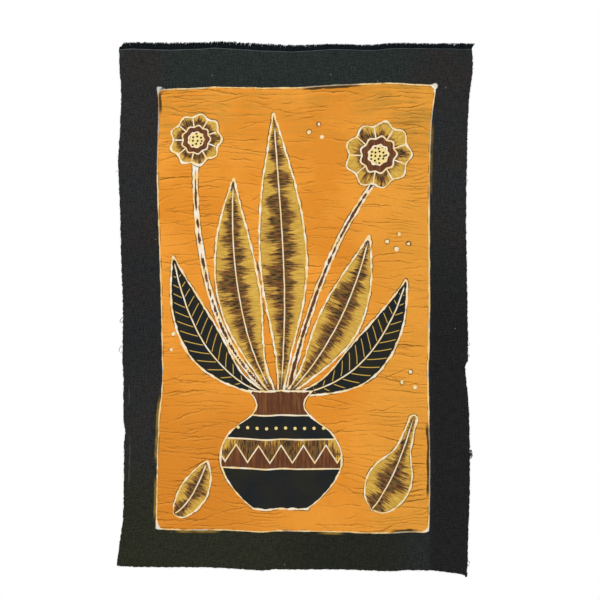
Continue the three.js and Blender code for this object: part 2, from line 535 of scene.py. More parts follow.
@dataclass(frozen=True)
class ClothCut:
    """The cut length of cotton and the way that it hangs, shared by every piece."""

    width: float = 400.0
    drop: float = 600.0
    thickness: float = 0.6
    middle_depth: float = 0.6
    side_reach: float = 42.0
    hem_reach: float = 60.0
    flat_heading: float = 36.0
    sweep: float = 45.0
    nick_power: int = 12

    def side(self, column: str, down: Array) -> Array:
        """A column of the sides' table at each distance down."""
        return read_table(SIDES, column, down)

    def end(self, column: str, across: Array) -> Array:
        """A column of the ends' table at each distance across."""
        return read_table(ENDS, column, across)

    def hung(self, across: Array, down: Array) -> tuple[Array, Array]:
        """Finds where points of the flat cut lie in the plane of the hanging cloth.

        Args:
            across: The points' distance across.
            down: Their distance down.

        Returns:
            Their x and z.
        """
        half = self.width / 2
        to_right = (across + half) / self.width
        left, left_nick = self.eased_side("left", down)
        right, right_nick = self.eased_side("right", down)
        x = across + right * to_right - left * (1 - to_right)
        x += right_nick * to_right**self.nick_power - left_nick * (1 - to_right) ** self.nick_power
        top = self.end("top", across)
        hem = -self.drop - self.end("hem", across)
        z = top + (hem - top) * down / self.drop
        return x, z

    def eased_side(self, column: str, down: Array) -> tuple[Array, Array]:
        """Parts a raw side into its broad sweep, which moves the whole cloth, and the nicks of its edge.

        Args:
            column: The side's column in the table.
            down: The distance down.

        Returns:
            The broad sweep and what the nicks add to it.
        """
        steps = np.linspace(-self.sweep, self.sweep, 7)
        broad = np.mean([self.side(column, np.clip(down + step, 0.0, self.drop)) for step in steps], axis=0)
        return broad, self.side(column, down) - broad

    def stand_off(self, across: Array, down: Array) -> Array:
        """How far the cloth stands off the wall, from its curled edges and its soft swells.

        Args:
            across: The points' distance across.
            down: Their distance down.

        Returns:
            The stand-off at each point.
        """
        half = self.width / 2

        def curl(distance: Array, reach: float) -> Array:
            """What is left of an edge's lift at a distance in from it."""
            return np.clip(1 - distance / reach, 0.0, 1.0) ** 2

        lift = self.side("left_lift", down) * curl(half + across, self.side_reach)
        lift += self.side("right_lift", down) * curl(half - across, self.side_reach)
        lift += self.end("hem_lift", across) * curl(self.drop - down, self.hem_reach)
        for swell in SWELLS:
            along = (down - swell.down) / swell.half_length
            aside = (across - swell.across - swell.lean * (down - swell.down)) / swell.half_width
            away = np.minimum(1.0, np.hypot(along, aside))
            lift += swell.height * (1 + np.cos(np.pi * away)) / 2
        return lift * smooth_step(down, self.flat_heading, 4 * self.flat_heading)

    def place(self, across: Array, down: Array, forward: Array) -> Array:
        """Places points of the flat cut in the hanging cloth.

        Args:
            across: The points' distance across.
            down: Their distance down.
            forward: How far each stands in front of the cloth's back.

        Returns:
            The points in metres, one row each.
        """
        x, z = self.hung(across, down)
        y = -self.stand_off(across, down) - forward
        return np.stack([x, y, z], axis=-1) * MM


class Value:
    """One output socket of a node tree, with operators that add Math nodes."""

    def __init__(self, graph: Graph, socket: bpy.types.NodeSocket) -> None:
        """Wraps a socket of a graph's tree."""
        self.graph = graph
        self.socket = socket

    def __add__(self, other: Number) -> Value:
        """The sum."""
        return self.graph.math("ADD", self, other)

    def __sub__(self, other: Number) -> Value:
        """The difference."""
        return self.graph.math("SUBTRACT", self, other)

    def __rsub__(self, other: Number) -> Value:
        """The difference from a number."""
        return self.graph.math("SUBTRACT", other, self)

    def __mul__(self, other: Number) -> Value:
        """The product."""
        return self.graph.math("MULTIPLY", self, other)

    def __truediv__(self, other: Number) -> Value:
        """The quotient."""
        return self.graph.math("DIVIDE", self, other)

    def __abs__(self) -> Value:
        """The size without its sign."""
        return self.graph.math("ABSOLUTE", self)

    def __gt__(self, other: Number) -> Value:
        """1 where this is the greater, else 0."""
        return self.graph.math("GREATER_THAN", self, other)

    def __lt__(self, other: Number) -> Value:
        """1 where this is the lesser, else 0."""
        return self.graph.math("LESS_THAN", self, other)

    __radd__ = __add__
    __rmul__ = __mul__

    def floor(self) -> Value:
        """The whole number below."""
        return self.graph.math("FLOOR", self)

    def fraction(self) -> Value:
        """What is left above the whole number."""
        return self.graph.math("FRACT", self)

    def sine(self) -> Value:
        """The sine of the angle in radians."""
        return self.graph.math("SINE", self)

    def least(self, other: Number) -> Value:
        """The lesser of the two."""
        return self.graph.math("MINIMUM", self, other)

    def most(self, other: Number) -> Value:
        """The greater of the two."""
        return self.graph.math("MAXIMUM", self, other)

    def rise(self, low: Number, high: Number) -> Value:
        """Eases from 0 at low to 1 at high, or falls from 1 where low is the greater."""
        settings = {"interpolation_type": "SMOOTHSTEP"}
        made = self.graph.node("ShaderNodeMapRange", settings, {0: self, 1: low, 2: high})
        return Value(self.graph, made.outputs[0])


class Graph:
    """Adds nodes to the tree of one material or world."""

    def __init__(self, tree: bpy.types.NodeTree) -> None:
        """Clears the tree."""
        self.tree = tree
        tree.nodes.clear()

    def node(
        self,
        kind: str,
        settings: dict[str, Any] | None = None,
        inputs: dict[Any, Any] | None = None,
    ) -> bpy.types.Node:
        """Adds a node.

        Args:
            kind: The node's type.
            settings: Its own settings, which are set first.
            inputs: What each input socket holds, a value or the socket that feeds it.

        Returns:
            The new node.
        """
        made = self.tree.nodes.new(kind)
        for name, setting in (settings or {}).items():
            setattr(made, name, setting)
        for key, held in (inputs or {}).items():
            if isinstance(held, Value):
                self.tree.links.new(held.socket, made.inputs[key])
            else:
                made.inputs[key].default_value = held
        return made

    def math(self, operation: str, first: Number, second: Number = 0.0) -> Value:
        """A Math node of an operation on two values."""
        made = self.node("ShaderNodeMath", {"operation": operation}, {0: first, 1: second})
        return Value(self, made.outputs[0])

    def mix(self, share: Number, under: Any, over: Any, blend: str = "MIX") -> Value:
        """Mixes two colours.

        Args:
            share: How much of the upper colour shows.
            under: The lower colour.
            over: The upper colour.
            blend: The way that they mix.

        Returns:
            The mixed colour.
        """
        settings = {"data_type": "RGBA", "blend_type": blend, "clamp_factor": True}
        made = self.node("ShaderNodeMix", settings, {0: share, 6: under, 7: over})
        return Value(self, made.outputs[2])

    def vector(self, x: Number, y: Number, z: Number = 0.0) -> Value:
        """A vector of three values."""
        made = self.node("ShaderNodeCombineXYZ", None, {0: x, 1: y, 2: z})
        return Value(self, made.outputs[0])

    def scaled(self, colour: Value, factor: Value) -> Value:
        """A colour made lighter or darker by a factor."""
        made = self.node("ShaderNodeVectorMath", {"operation": "SCALE"}, {0: colour, "Scale": factor})
        return Value(self, made.outputs[0])

    def noise(self, place: Value, detail: float = 2.0, rough: float = 0.5) -> Value:
        """Soft noise from 0 to 1 at a place, with features about one unit across."""
        inputs = {"Vector": place, "Scale": 1.0, "Detail": detail, "Roughness": rough}
        made = self.node("ShaderNodeTexNoise", {"noise_dimensions": "3D"}, inputs)
        return Value(self, made.outputs["Fac"])

    def attribute(self, name: str) -> tuple[Value, Value, Value]:
        """The three numbers of a vector attribute."""
        read = self.node("ShaderNodeAttribute", {"attribute_name": name})
        parts = self.node("ShaderNodeSeparateXYZ", None, {0: Value(self, read.outputs["Vector"])})
        return tuple(Value(self, socket) for socket in parts.outputs)

    def hypot(self, first: Value, second: Value) -> Value:
        """The distance that two distances at right angles make up."""
        return self.math("SQRT", first * first + second * second)

    def cells(self, place: Value, randomness: float = 1.0) -> bpy.types.Node:
        """Scattered points about one unit apart, as a node that measures the nearest."""
        inputs = {"Vector": place, "Scale": 1.0, "Randomness": randomness}
        return self.node("ShaderNodeTexVoronoi", {"feature": "F1", "voronoi_dimensions": "2D"}, inputs)

    def bump(self, height: Value, strength: float, distance: float) -> Value:
        """The normal that a height gives, at a strength and a distance in mm."""
        inputs = {"Strength": strength, "Distance": distance * MM, "Height": height}
        return Value(self, self.node("ShaderNodeBump", None, inputs).outputs["Normal"])

    def surface(self, inputs: dict[str, Any]) -> None:
        """Adds the shader with what its sockets hold, and links it to the material's output."""
        shader = self.node("ShaderNodeBsdfPrincipled", None, inputs)
        self.node("ShaderNodeOutputMaterial", None, {0: Value(self, shader.outputs[0])})


def new_material(name: str) -> bpy.types.Material:
    """Makes a material that is ready for nodes.

    Args:
        name: The material's name.

    Returns:
        The material.
    """
    made = bpy.data.materials.new(name)
    made.use_nodes = True
    return made


def add_object(name: str, data: bpy.types.ID) -> bpy.types.Object:
    """Adds an object to the scene, at the origin.

    Args:
        name: The object's name.
        data: The mesh, lamp or camera that it holds.

    Returns:
        The object.
    """
    made = bpy.data.objects.new(name, data)
    bpy.context.scene.collection.objects.link(made)
    return made


@dataclass(frozen=True)
class BatikDye:
    """The wax-resist dyeing of the cotton: the colours of its baths, the painted shade and highlights laid
    with them, and the sizes of its drawing.
    """

    ground: Colour = srgb(242, 158, 56)
    ground_deep: Colour = srgb(229, 143, 43)
    ground_low: Colour = srgb(215, 131, 38)
    ground_gold: Colour = srgb(238, 164, 62)
    ground_olive: Colour = srgb(196, 141, 54)
    # ground_ridge_highlight: painted highlight on the ridge beside each crack
    ground_ridge_highlight: Colour = srgb(250, 178, 82)
    crack: Colour = srgb(166, 158, 82)
    border_warm: Colour = srgb(43, 41, 40)
    border_cool: Colour = srgb(39, 41, 42)
    border_green: Colour = srgb(37, 45, 42)
    # border_dark_shade: painted shade down the right edge, and a smaller share of it on the left side's
    # middle
    border_dark_shade: Colour = srgb(30, 30, 31)
    border_olive: Colour = srgb(41, 43, 31)
    border_umber: Colour = srgb(34, 36, 28)
    # border_fold_highlight: painted highlight along the folds of the left raw edge
    border_fold_highlight: Colour = srgb(86, 82, 80)
    black: Colour = srgb(41, 40, 34)
    black_blue: Colour = srgb(30, 34, 37)
    brown: Colour = srgb(97, 57, 39)
    brown_light: Colour = srgb(146, 99, 52)
    ochre: Colour = srgb(203, 159, 64)
    ochre_light: Colour = srgb(227, 186, 86)
    cream: Colour = srgb(247, 222, 146)
    wax: Colour = srgb(249, 240, 220)
    wax_peach: Colour = srgb(250, 219, 160)
    wax_tan: Colour = srgb(238, 207, 146)
    wax_grey: Colour = srgb(186, 188, 178)
    bleed: Colour = srgb(62, 50, 24)
    unreached: Colour = srgb(150, 118, 46)
    line_half: float = 0.5
    line_swing: float = 1.1
    frame_half: float = 0.62
    wobble: float = 2.2
    thread_pitch: float = 0.55

    def material(self, name: str, face: Face) -> bpy.types.Material:
        """Makes the dyed cotton's material for one face of the cloth.

        Args:
            name: The material's name.
            face: The face that it dresses. The dye shows a little paler on the back.

        Returns:
            The material.
        """
        made = new_material(name)
        DyeGraph(made.node_tree, self).finish(face)
        return made


class DyeGraph(Graph):
    """The node tree of the dyed cotton."""

    def __init__(self, tree: bpy.types.NodeTree, dye: BatikDye) -> None:
        """Starts the tree with the flat cut's own coordinates and the drawing hand's wavering."""
        super().__init__(tree)
        self.dye = dye
        self.across, self.down, _ = self.attribute("flat")
        hand = self.patch(14.0, 3.0)
        press = self.patch(9.0, 17.0)
        drip = self.patch(30.0, 29.0, 1.0).rise(0.66, 0.74)
        self.waver = (hand - 0.5) * dye.wobble
        ragged = (self.patch(2.4, 19.0, 1.0) - 0.5) * 0.7
        self.half_line = press.rise(0.28, 0.74) * dye.line_swing + dye.line_half + drip * 0.7 + ragged
        self.bleeding = self.patch(24.0, 41.0).rise(0.42, 0.56)
        self.wax = self.mix(self.patch(11.0, 53.0).rise(0.4, 0.66), dye.wax_peach, dye.wax)
        threads = self.streak(1.1, 10.0, 103.0, 3.0) + self.streak(10.0, 1.1, 107.0, 3.0)
        self.grain = threads * 0.8 + self.patch(1.5, 109.0, 1.0) * 1.2 - 1.4
        self.cracks, self.ridge_highlights = self.crackle()

    def patch(self, size: float, seed: float, detail: float = 2.0) -> Value:
        """Soft noise over the flat cut, with patches of a size in mm."""
        return self.streak(size, size, seed, detail)

    def streak(self, wide: float, tall: float, seed: float, detail: float = 2.0) -> Value:
        """Soft noise over the flat cut, with streaks of a width and height in mm."""
        return self.noise(self.vector(self.across / wide, self.down / tall, seed), detail)

    def crack_family(self, pitch: float, slant: float, seed: float, often: float) -> tuple[Value, Value]:
        """A family of broken, wandering cracks that run across the cloth.

        Args:
            pitch: The mean distance from crack to crack.
            slant: How far they fall for each millimetre across.
            seed: Sets this family apart from the others.
            often: How much of each crack took dye, from 0 to 1.

        Returns:
            The dark cracks, and a painted highlight on the ridge beside each of them.
        """
        bend = (self.streak(120.0, 64.0, seed) - 0.5) * 34.0
        ripple = (self.streak(13.0, 17.0, seed + 3.0, 3.0) - 0.5) * 5.0
        phase = (self.down + self.across * slant + bend + ripple) / pitch
        row = phase.floor()
        away = (phase - row - 0.5) * pitch
        taken = self.noise(self.vector(self.across / 74.0, row * 7.31, seed + 5.0), 3.0)
        dyed = taken.rise(0.62 - often * 0.24, 0.7 - often * 0.24)
        # Painted highlight: a paler band on one side of each crack, where a pucker's ridge would catch the
        # light.
        ridge = away.rise(0.4, 1.1) * away.rise(3.2, 1.5) * dyed
        return abs(away).rise(0.6, 0.14) * dyed, ridge

    def ground(self) -> Value:
        """The orange ground of the panel, with its blotches, washes and crackle, and a painted highlight
        beside the cracks.
        """
        dye = self.dye
        depth = self.patch(70.0, 61.0, 3.0).rise(0.34, 0.66)
        colour = self.mix(depth, dye.ground, dye.ground_deep)
        low_left = self.down.rise(370.0, 450.0) * self.across.rise(20.0, -90.0)
        colour = self.mix(low_left * 0.85, colour, dye.ground_low)
        right_edge = self.across.rise(50.0, 130.0)
        colour = self.mix(right_edge * 0.6, colour, dye.ground_gold)
        # The ridge beside each crack gets a painted highlight.
        colour = self.mix(self.ridge_highlights * 0.4, self.washed(colour, right_edge), dye.ground_ridge_highlight)
        return self.mix(self.cracks * 1.2, colour, dye.crack, "MULTIPLY")

    def washed(self, colour: Value, right_edge: Value) -> Value:
        """Washes olive over the heading and the right edge of the ground, and shows the threads.

        Args:
            colour: The ground so far.
            right_edge: How near the panel's right edge is.

        Returns:
            The washed ground.
        """
        heading = self.down.rise(160.0, 64.0)
        corner = heading * self.across.rise(-60.0, -130.0).most(right_edge)
        low_right = right_edge * self.down.rise(440.0, 500.0)
        strength = heading * 0.5 + right_edge * 0.22 + corner * 0.34 + low_right * 0.25 + 0.08
        streaks = self.streak(60.0, 4.6, 67.0, 3.0).rise(0.4, 0.66) * 0.65
        blots = self.patch(24.0, 69.0).rise(0.36, 0.66) * 0.35
        colour = self.mix((streaks + blots) * strength, colour, self.dye.ground_olive)
        return self.scaled(colour, self.grain * 0.2 + 1)

    def crackle(self) -> tuple[Value, Value]:
        """The cracks of the wax that took dark dye, thickest where the cloth was bunched.

        Returns:
            The dark cracks, and a painted highlight on the ridge beside each of them.
        """
        low_right = self.across.rise(50.0, 110.0) * self.down.rise(330.0, 420.0)
        upper_edges = self.down.rise(190.0, 150.0) * abs(self.across).rise(70.0, 120.0)
        low_left = self.across.rise(-50.0, -100.0) * self.down.rise(340.0, 420.0) * 0.8
        bunched = self.patch(50.0, 81.0).rise(0.48, 0.6).most(low_right).most(low_left).most(upper_edges)
        sharp, ridge = self.crack_family(4.4, -0.02, 19.0, 0.68)
        sharp = sharp * bunched * 0.85
        ridge = ridge * bunched * 0.6
        families = (
            self.crack_family(9.0, 0.03, 7.0, 0.44),
            self.crack_family(13.0, -0.1, 11.0, 0.5),
            self.crack_family(17.0, 0.22, 13.0, 0.36),
            self.crack_family(21.0, -0.3, 23.0, 0.3),
        )
        for next_sharp, next_ridge in families:
            sharp = sharp.most(next_sharp)
            ridge = ridge.most(next_ridge)
        calm = self.across.rise(-60.0, -95.0) * self.down.rise(246.0, 268.0) * self.down.rise(340.0, 318.0)
        sharp = sharp * (1 - calm * 0.65)
        away, taken, _ = self.attribute("cracks")
        signed = away + (self.patch(7.0, 79.0) - 0.5) * 2.2
        sharp = sharp.most(abs(signed).rise(0.85, 0.2) * taken * 1.7)
        # Painted highlight on one side of each dyed crease's trough.
        ridge = ridge.most(signed.rise(0.5, 1.4) * signed.rise(4.2, 2.0) * taken)
        worked = self.patch(36.0, 83.0).rise(0.3, 0.66) * 0.5 + 0.3
        broken = self.patch(5.5, 87.0).rise(0.28, 0.52) * 0.5 + 0.5
        return sharp * worked * broken, ridge * worked

    def brushed(self, along: Value, aside: Value, inside: Value) -> Value:
        """Ochre with dry brush strokes of brown and black that run across a shape's axis.

        Args:
            along: The distance along the shape's axis.
            aside: The distance to one side of it.
            inside: The depth inside the outline.

        Returns:
            The brushed colour.
        """
        dye = self.dye
        bristle = self.noise(self.vector(along / 1.7, aside / 17.0, 5.0), 3.0, 0.62)
        load = self.noise(self.vector(along / 15.0, aside / 50.0, 9.0), 1.0)
        tone = self.noise(self.vector(along / 4.0, aside / 30.0, 15.0), 2.0)
        fine = self.noise(self.vector(along / 1.4, aside / 9.0, 25.0), 2.0)
        edge = abs(aside) / (abs(aside) + inside.most(0.0) + 0.5)
        pale = self.noise(self.vector(along / 1.8, aside / 12.0, 21.0), 2.0)
        base = self.mix(pale.rise(0.35, 0.7), dye.ochre, dye.ochre_light)
        base = self.mix(fine.rise(0.56, 0.72) * 0.3, base, dye.brown_light)
        reach = bristle * 1.1 + load * 1.1 - edge * 0.62
        faint = self.mix(reach.rise(0.66, 0.82) * 0.7, base, dye.brown_light)
        stroke = self.mix(tone.rise(0.42, 0.56), dye.brown, dye.black)
        cover = fine.rise(0.6, 0.4) * 0.45 + 0.53
        return self.mix(reach.rise(0.8, 0.89) * cover, faint, stroke)

    def dark(self) -> Value:
        """The black bath, a little blue or brown in places."""
        return self.mix(self.patch(34.0, 89.0).rise(0.3, 0.7), self.dye.black, self.dye.black_blue)

    def russet(self) -> Value:
        """The brown bath, a little lighter along the threads."""
        lighter = self.streak(3.0, 30.0, 97.0).rise(0.4, 0.75) * 0.6
        return self.mix(lighter, self.dye.brown, self.dye.brown_light)

    def lay(self, under: Value, fill: Value, inside: Value) -> Value:
        """Lays a filled shape and its waxed outline over what lies under them.

        Args:
            under: The colour so far.
            fill: The shape's own colour.
            inside: The depth inside its outline.

        Returns:
            The colour with the shape on it.
        """
        drawn = inside + self.waver
        past = drawn + self.half_line
        run_out = past.rise(-1.5, -0.4) * self.bleeding
        colour = self.mix(run_out * 0.9, under, self.dye.bleed)
        colour = self.mix(past.rise(-0.2, 0.2), colour, fill)
        inner = drawn - self.half_line
        run_in = inner.rise(1.3, 0.3) * past.rise(0.0, 0.4) * (1 - self.bleeding)
        colour = self.mix(run_in * 0.75, colour, self.dye.bleed)
        return self.mix(abs(drawn).rise(self.half_line + 0.2, self.half_line - 0.25), colour, self.wax)

    def line(self, distance: Value, half: float) -> Value:
        """A waxed line of a half-width in mm where a distance is near 0."""
        wavering = distance + self.waver * 0.5
        return abs(wavering).rise(half + 0.2, half - 0.3)

    def stems(self, along: Value, aside: Value, inside: Value) -> Value:
        """The stems' brown fill."""
        return self.russet()

    def dark_leaves(self, along: Value, aside: Value, inside: Value) -> Value:
        """Black leaves with a midrib and slanting veins left in cream."""
        vein_pitch = 12.0
        vein = ((along - abs(aside) * 0.9) / vein_pitch).fraction()
        near = abs(vein - 0.5) * vein_pitch
        kept = (abs(aside) > 2.0) * inside.rise(2.4, 4.2)
        veins = near.rise(0.8, 0.45) * kept * 0.85
        colour = self.mix(veins, self.dark(), self.dye.ochre_light)
        return self.mix(self.line(aside, 0.8) * inside.rise(2.0, 4.0), colour, self.wax)

    def ochre_leaves(self, along: Value, aside: Value, inside: Value) -> Value:
        """Brushed ochre leaves, a pod and a gourd, with a midrib left in wax."""
        colour = self.brushed(along, aside, inside)
        return self.mix(self.line(aside, 0.75) * inside.rise(2.5, 5.0), colour, self.wax)

    def blossoms(self, along: Value, aside: Value, inside: Value) -> Value:
        """Blossoms with brushed petals, a brown ring and a cream eye with dark seeds."""
        ring_share, eye_share = 0.56, 0.31
        seed_pitch, radius = 4.4, 34.0
        reach = self.hypot(along, aside)
        share = reach / (reach + inside.most(0.0) + 0.01)
        turn = self.math("ARCTAN2", aside, along) * (PETALS / math.tau) + 0.5
        petal = abs(turn.fraction() - 0.5)
        colour = self.brushed(turn * 15.0, (reach - 19.0) * 1.4, inside)
        gap = (0.5 - petal) * reach * (math.tau / PETALS)
        colour = self.mix(gap.rise(0.95, 0.5), colour, self.wax)
        colour = self.mix(share < ring_share, colour, self.russet())
        seeds = self.cells(self.vector(along / seed_pitch, aside / seed_pitch), 0.5)
        seed = Value(self, seeds.outputs["Distance"]).rise(0.34, 0.24)
        eye = self.mix(seed, self.dye.cream, self.dark())
        colour = self.mix(share < eye_share, colour, eye)
        rings = (abs(share - ring_share) * radius).least(abs(share - eye_share) * radius)
        return self.mix(rings.rise(1.15, 0.7), colour, self.wax)

    def pot(self, along: Value, aside: Value, inside: Value) -> Value:
        """A black pot with a brown neck and a brushed band that carries a waxed zigzag."""
        band_low, band_high, neck = 46.0, 80.0, 108.0
        tooth, margin = 26.0, 7.0
        bead_pitch, bead_row = 11.0, 93.0
        wave = abs((aside / tooth).fraction() - 0.5) * 2.0
        ridge = along - (band_low + margin) - wave * (band_high - band_low - 2 * margin)
        strokes = self.brushed(aside, along - (band_low + band_high) / 2, inside)
        band = self.mix(ridge > 0.0, self.russet(), strokes)
        band = self.mix(self.line(ridge * 0.62, 0.85), band, self.wax)
        in_band = (along > band_low) * (along < band_high)
        colour = self.mix(in_band, self.dark(), band)
        colour = self.mix(along > neck, colour, self.russet())
        beads_across = ((aside / bead_pitch).fraction() - 0.5) * bead_pitch
        bead = self.hypot(beads_across, along - bead_row)
        colour = self.mix(bead.rise(2.1, 1.5), colour, self.dye.cream)
        hoops = abs(along - band_low).least(abs(along - band_high)).least(abs(along - neck))
        return self.mix(self.line(hoops, 0.9), colour, self.wax)

    def bordered(self, panel: Value) -> Value:
        """Sets the panel in its dark border, with the waxed frame between them.

        Args:
            panel: The panel's colour.

        Returns:
            The whole face's colour.
        """
        dye = self.dye
        inside, spot, slipped = self.attribute("panel")
        drawn = inside + self.waver * 0.5
        colour = self.mix(drawn.rise(-0.3, 0.2), self.border(), panel)
        edged = self.patch(18.0, 111.0).rise(0.3, 0.6)
        ran_in = slipped.most(0.0)
        ran = drawn.rise(0.2, 0.8) * drawn.rise(edged * 1.2 + 3.0, edged * 1.2 + 2.0) * ran_in
        colour = self.mix(ran * 0.95, colour, dye.bleed)
        upper_right = self.across.rise(140.0, 150.0) * self.down.rise(190.0, 164.0)
        upper_right = upper_right * self.down.rise(62.0, 84.0)
        short = drawn.rise(-4.2, -2.4) * drawn.rise(0.2, -0.4) * (0 - slipped).most(0.0)
        short = short * (1 - upper_right * 0.55)
        colour = self.mix(short * (edged * 0.55 + 0.35), colour, dye.unreached)
        seam = abs(drawn - 1.1).rise(0.9, 0.2) * self.patch(15.0, 123.0).rise(0.46, 0.6)
        colour = self.mix(seam * 0.6, colour, dye.bleed)
        even = self.across.rise(140.0, 150.0) * self.down.rise(150.0, 190.0) * self.down.rise(440.0, 420.0)
        half = self.patch(16.0, 117.0).rise(0.3, 0.7) * 0.45 + even * 0.3 + (dye.frame_half - 0.22)
        half = half + (self.patch(2.6, 125.0, 1.0) - 0.5) * 0.6
        upper_left = self.across.rise(-140.0, -150.0) * self.down.rise(150.0, 120.0)
        kept = self.patch(15.0, 119.0).rise(0.34, 0.5).most(even) * 0.65 + 0.35
        kept = kept * (1 - ran_in * 0.4) * (1 - upper_left * 0.35) * (1 - upper_right * 0.3)
        tint = self.mix(self.patch(13.0, 121.0).rise(0.4, 0.66), dye.wax_tan, dye.wax_peach)
        greyed = (ran_in * 0.8).most(self.patch(30.0, 113.0).rise(0.6, 0.7)).most(upper_left)
        greyed = greyed.most(upper_right * 0.55)
        tint = self.mix(greyed, tint, dye.wax_grey)
        colour = self.mix(abs(drawn).rise(half + 0.3, half - 0.3) * kept, colour, tint)
        ragged = (self.patch(3.0, 126.0, 1.0) - 0.5) * 1.6
        blot = (spot + self.waver * 0.45 + ragged).rise(-0.5, 0.6)
        chalk = (self.patch(5.0, 127.0).rise(0.45, 0.75) * 0.5).most(upper_left * 0.7)
        return self.mix(blot * 0.92, colour, self.mix(chalk, dye.wax, dye.wax_grey))

    def border(self) -> Value:
        """The black border, greener along the top, darkest at the right with painted shade, and browner
        along the hem.
        """
        dye = self.dye
        colour = self.mix(self.patch(60.0, 101.0).rise(0.36, 0.64), dye.border_warm, dye.border_cool)
        middle = self.across.rise(-164.0, -140.0) * self.across.rise(146.0, 116.0)
        colour = self.mix(self.down.rise(52.0, 38.0) * middle * 0.85, colour, dye.border_green)
        # Painted shade: darker down the right edge, where the raw edge curls off the wall away from the
        # light at the upper left; a third of the same dark also darkens the left side's middle.
        right = self.across.rise(150.0, 162.0) * self.down.rise(140.0, 330.0) * 0.95
        left = self.across.rise(-150.0, -160.0) * self.down.rise(180.0, 240.0) * self.down.rise(420.0, 340.0)
        colour = self.mix(right.most(left * 0.35), colour, dye.border_dark_shade)
        hem = self.down.rise(430.0, 556.0) * self.across.rise(160.0, 100.0)
        brown_hem = self.mix(self.across.rise(-40.0, 40.0), dye.border_olive, dye.border_umber)
        colour = self.mix(hem * 0.9, colour, brown_hem)
        colour = self.scaled(colour, (self.grain * 1.8 + 1).most(0.25))
        # Painted highlight: a paler line along the folds of the left raw edge.
        away, _, fold_highlight = self.attribute("cracks")
        fold_highlight_line = abs(away + (self.patch(8.0, 79.0) - 0.5) * 2.0).rise(1.1, 0.3) * fold_highlight
        fold_highlight_line = fold_highlight_line * self.patch(9.0, 85.0).rise(0.3, 0.6)
        colour = self.mix(fold_highlight_line * 0.75, colour, dye.border_fold_highlight)
        lint_pitch = 47.0
        lint = self.cells(self.vector(self.across / lint_pitch, self.down / lint_pitch))
        rare = Value(self, lint.outputs["Color"])
        fleck = Value(self, lint.outputs["Distance"]).rise(0.014, 0.008) * (rare > 0.62)
        return self.mix(fleck * 0.45, colour, dye.wax_grey)

    def weave_height(self) -> Value:
        """The height of the plain weave, its threads over and under each other, with uneven slubs."""
        turn = math.pi / self.dye.thread_pitch
        over = (self.across * turn).sine() * (self.down * turn).sine()
        slub = self.streak(1.0, 22.0, 131.0) + self.streak(22.0, 1.0, 137.0)
        return over * 0.3 + slub

    def finish(self, face: Face) -> None:
        """Paints the layers from the lowest to the topmost and links them to the shader.

        Args:
            face: The face of the cloth that the material dresses.
        """
        colour = self.ground()
        for layer in Layer:
            inside, along, aside = self.attribute(layer.value)
            paint = getattr(self, layer.value)
            colour = self.lay(colour, paint(along, aside, inside), inside)
        colour = self.mix(self.cracks * 0.3, colour, self.dye.crack, "MULTIPLY")
        colour = self.bordered(colour)
        if face is Face.BACK:
            colour = self.mix(0.05, colour, self.dye.wax_tan)
        self.surface(
            {
                "Base Color": colour,
                "Roughness": self.patch(45.0, 139.0) * 0.12 + 0.84,
                "Normal": self.bump(self.weave_height(), 0.35, 0.15),
                "Sheen Weight": 0.012,
                "Sheen Roughness": 0.6,
                "Specular IOR Level": 0.1,
            }
        )


@dataclass(frozen=True)
class YarnFinish:
    """Matt cotton yarn, with each end a little lighter or darker than the next, and paler along it."""

    shade: Colour
    light: Colour
    roughness: float = 0.95
    reach_paling: float = 0.15
    fibre_scale: float = 2600.0

    def material(self, name: str) -> bpy.types.Material:
        """Makes the yarn's material, which reads each end's own tone.

        Args:
            name: The material's name.

        Returns:
            The material.
        """
        made = new_material(name)
        graph = Graph(made.node_tree)
        tone, reach, _ = graph.attribute("yarn")
        where = graph.node("ShaderNodeTexCoord")
        inputs = {"Vector": Value(graph, where.outputs["Object"]), "Scale": self.fibre_scale, "Detail": 2.0}
        grain = graph.node("ShaderNodeTexNoise", None, inputs)
        fibre = Value(graph, grain.outputs["Fac"])
        # reach_paling pales each end along its reach; on the binding it is a painted highlight.
        lightness = tone * 0.6 + fibre.rise(0.35, 0.7) * 0.25 + reach * self.reach_paling
        graph.surface(
            {
                "Base Color": graph.mix(lightness, self.shade, self.light),
                "Roughness": self.roughness,
                "Normal": graph.bump(fibre, 0.5, 0.05),
                "Specular IOR Level": 0.06,
            }
        )
        return made


def write_vectors(mesh: bpy.types.Mesh, name: str, vectors: Array) -> None:
    """Stores one vector for each vertex of a mesh.

    Args:
        mesh: The mesh.
        name: The attribute's name.
        vectors: A row of three numbers for each vertex.
    """
    stored = mesh.attributes.new(name, "FLOAT_VECTOR", "POINT")
    stored.data.foreach_set("vector", vectors.astype(np.float32).ravel())


def choose(item: bpy.types.Object) -> None:
    """Makes an object the only selected one and the active one."""
    bpy.ops.object.select_all(action="DESELECT")
    item.select_set(True)
    bpy.context.view_layer.objects.active = item


